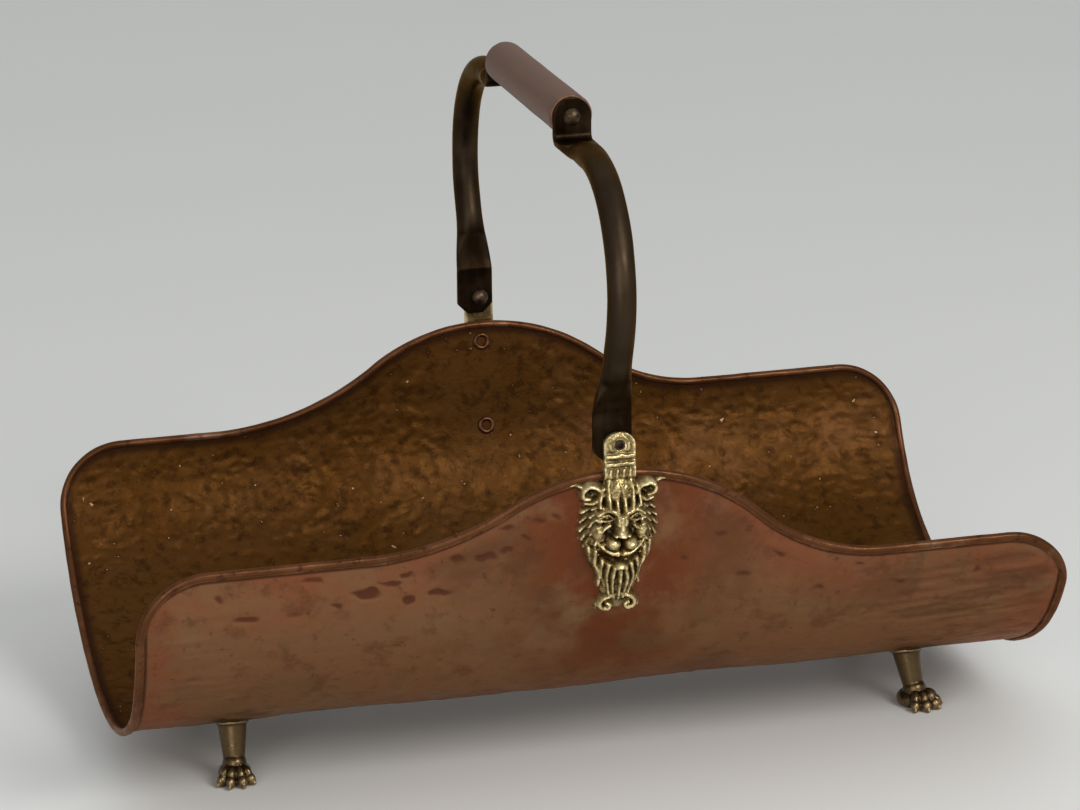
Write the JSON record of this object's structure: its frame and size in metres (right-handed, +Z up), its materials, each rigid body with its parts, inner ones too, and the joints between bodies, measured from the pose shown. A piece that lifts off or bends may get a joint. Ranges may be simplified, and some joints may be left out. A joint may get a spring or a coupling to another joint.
{
  "type": "copper log basket",
  "caption": "Open-ended U-shaped copper trough for firewood on cast paw feet, with a swinging wood-grip handle riveted to lion masks.",
  "frame": {"origin": "on the floor under the middle of the basket", "axes": "+X along the basket to its right end, +Y to the back, +Z up"},
  "size_m": [0.54, 0.396, 0.3898],
  "materials": {
    "copper_sheet": "hammered copper with a brown patina, lacquered",
    "cast_brass": "antique cast brass, bright on the high points",
    "dark_brass": "dark antique cast brass",
    "arm_bronze": "dark bronze patina, satin",
    "grip_wood": "stained and lacquered wood",
    "fastener_brass": "tarnished brass",
    "iron_wire": "plain drawn wire"
  },
  "bodies": {
    "basket": {"copper_trough": "copper_sheet", "edge_wire": "iron_wire", "lion_mask_front": "cast_brass", "lion_mask_back": "cast_brass", "mask_rivet_front_upper": "fastener_brass", "mask_rivet_front_lower": "fastener_brass", "mask_rivet_back_upper": "fastener_brass", "mask_rivet_back_lower": "fastener_brass", "pivot_rivet_front": "fastener_brass", "pivot_rivet_back": "fastener_brass", "paw_foot_front_left": "dark_brass", "paw_foot_front_right": "dark_brass", "paw_foot_back_left": "dark_brass", "paw_foot_back_right": "dark_brass", "foot_screw_front_left": "fastener_brass", "foot_screw_front_right": "fastener_brass", "foot_screw_back_left": "fastener_brass", "foot_screw_back_right": "fastener_brass", "foot_washer_front_left": "fastener_brass", "foot_washer_front_right": "fastener_brass", "foot_washer_back_left": "fastener_brass", "foot_washer_back_right": "fastener_brass"},
    "handle": {"handle_arm_front": "arm_bronze", "handle_arm_back": "arm_bronze", "handle_grip": "grip_wood", "grip_screw_front": "fastener_brass", "grip_screw_back": "fastener_brass"}
  },
  "joints": [
    {"name": "handle_swing", "type": "hinge", "parent": "basket", "child": "handle", "pos_m": [0, 0, 0.2123], "axis": [0, 1, 0], "range_deg": [-97, 112]}
  ]
}
